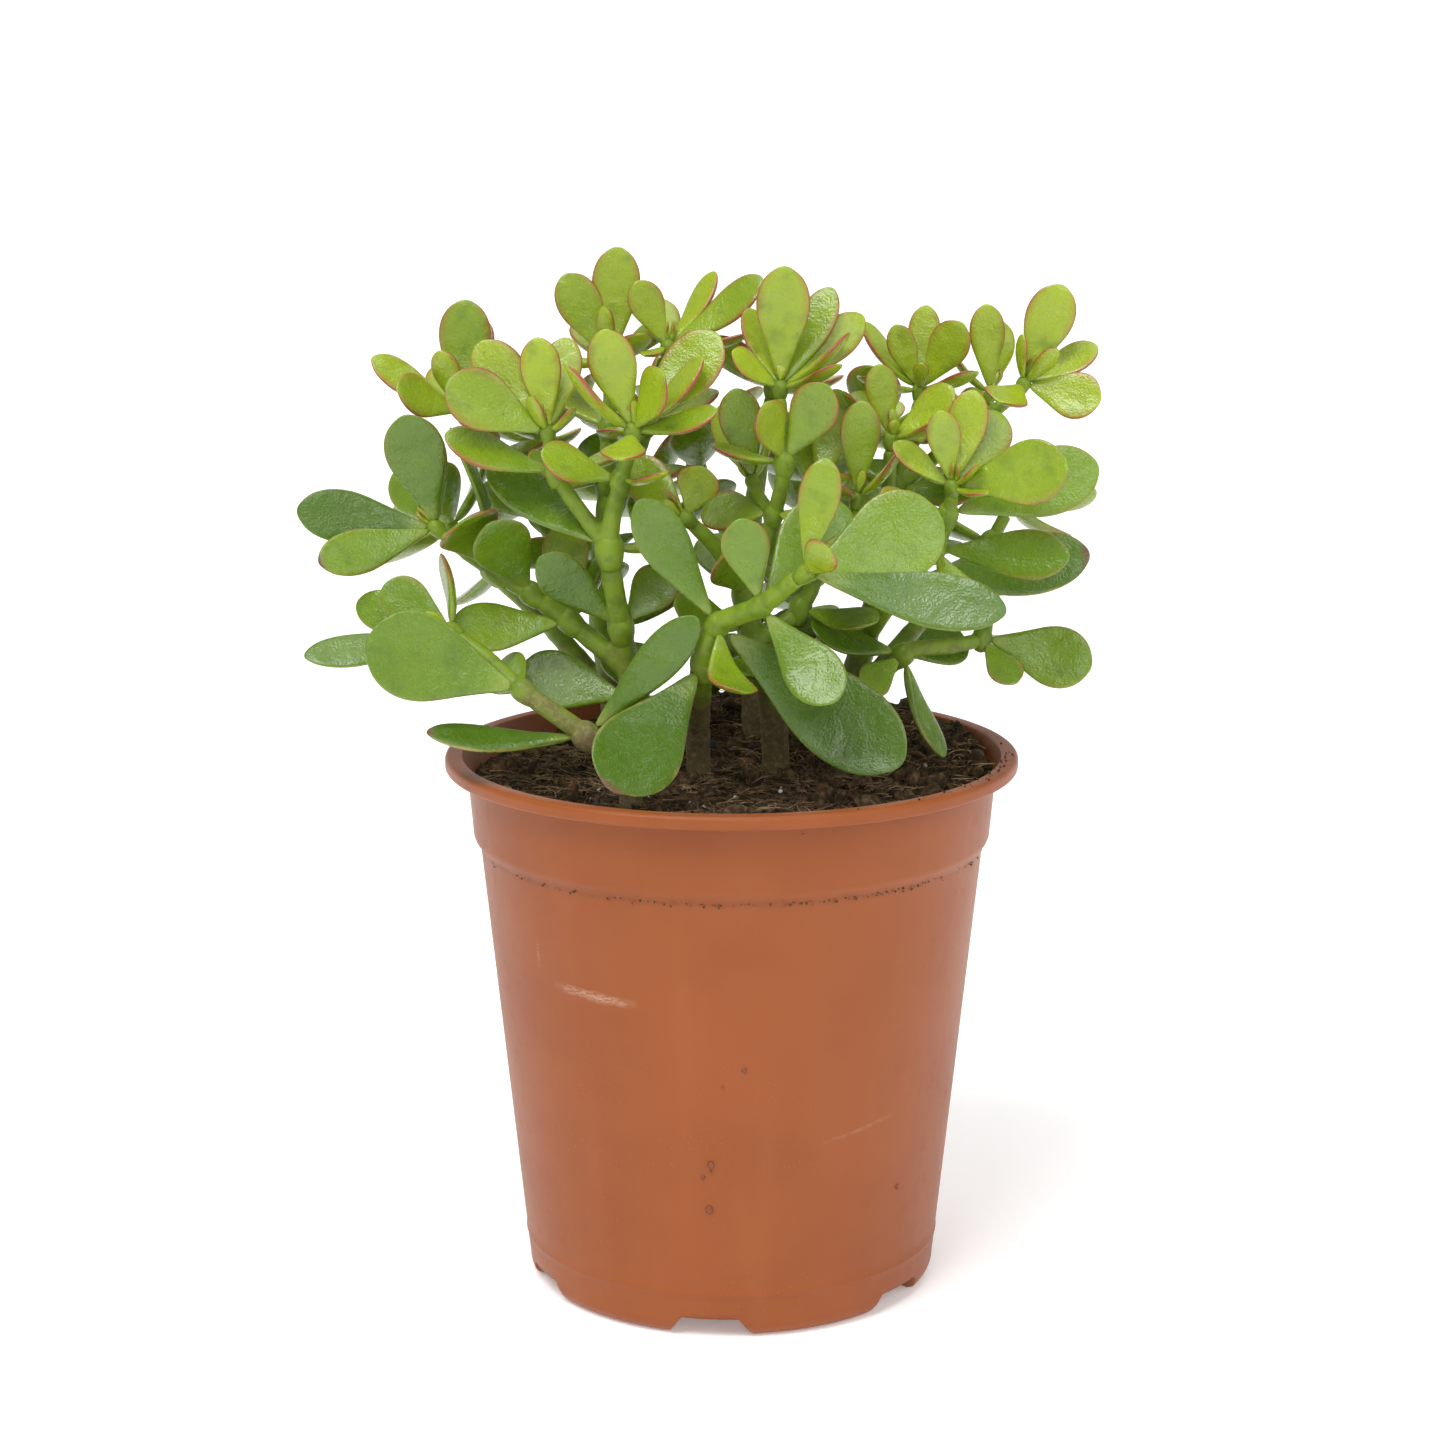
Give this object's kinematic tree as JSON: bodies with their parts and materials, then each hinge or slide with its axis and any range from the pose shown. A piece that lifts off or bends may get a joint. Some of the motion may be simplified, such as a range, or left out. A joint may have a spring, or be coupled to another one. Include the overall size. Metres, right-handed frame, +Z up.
{
  "type": "potted jade plant",
  "caption": "Bushy succulent with thick spoon-shaped leaves on forked stems, growing in peat soil in a tapered round plastic nursery pot with a rolled rim and drained foot.",
  "frame": {"origin": "on the resting plane, under the middle of the overall box; the pot's axis is 8 mm to +X and 15 mm to -Y of it", "axes": "+Z up, -Y towards the front of the plant, +X to the right seen from the front"},
  "size_m": [0.2364, 0.1996, 0.307],
  "materials": {
    "pot": "satin terracotta-coloured moulded plastic, lightly scuffed",
    "soil": "loose fibrous peat potting mix",
    "stem": "smooth succulent stem, green above and brown and woody below",
    "leaf": "thick waxy green leaf with a thin red margin"
  },
  "bodies": {
    "root": {"pair_back_trunk": "leaf", "pair_centre": "leaf", "pair_far_left": "leaf", "pair_front_bend": "leaf", "pair_front_broad": "leaf", "pair_front_tip": "leaf", "pair_front_upper": "leaf", "pair_inner_centre": "leaf", "pair_inner_front": "leaf", "pair_inner_right": "leaf", "pair_left_back": "leaf", "pair_left_lower": "leaf", "pair_left_middle": "leaf", "pair_left_upper": "leaf", "pair_low_left": "leaf", "pair_low_left_broad": "leaf", "pair_low_right_inner": "leaf", "pair_right_dark": "leaf", "pair_right_long": "leaf", "pair_right_middle": "leaf", "pair_right_top": "leaf", "pair_top": "leaf", "pair_top_right": "leaf", "pair_trunk_left": "leaf", "pair_trunk_low": "leaf", "pot": "pot", "soil": "soil", "stem_back": "stem", "stem_back_left": "stem", "stem_front": "stem", "stem_left": "stem", "stem_low_left": "stem", "stem_middle": "stem", "stem_right": "stem", "tuft_back_left": "leaf", "tuft_back_left_low": "leaf", "tuft_back_low": "leaf", "tuft_back_middle": "leaf", "tuft_back_right": "leaf", "tuft_back_right_low": "leaf", "tuft_back_top": "leaf", "tuft_centre": "leaf", "tuft_centre_left": "leaf", "tuft_far_left": "leaf", "tuft_inner_centre": "leaf", "tuft_inner_dark": "leaf", "tuft_inner_right": "leaf", "tuft_inner_slim": "leaf", "tuft_left": "leaf", "tuft_left_back": "leaf", "tuft_low_left": "leaf", "tuft_low_right": "leaf", "tuft_right": "leaf", "tuft_right_middle": "leaf", "tuft_right_small": "leaf", "tuft_right_top": "leaf", "tuft_side_right": "leaf", "tuft_top": "leaf", "tuft_top_centre": "leaf", "tuft_top_right": "leaf"}
  },
  "joints": []
}
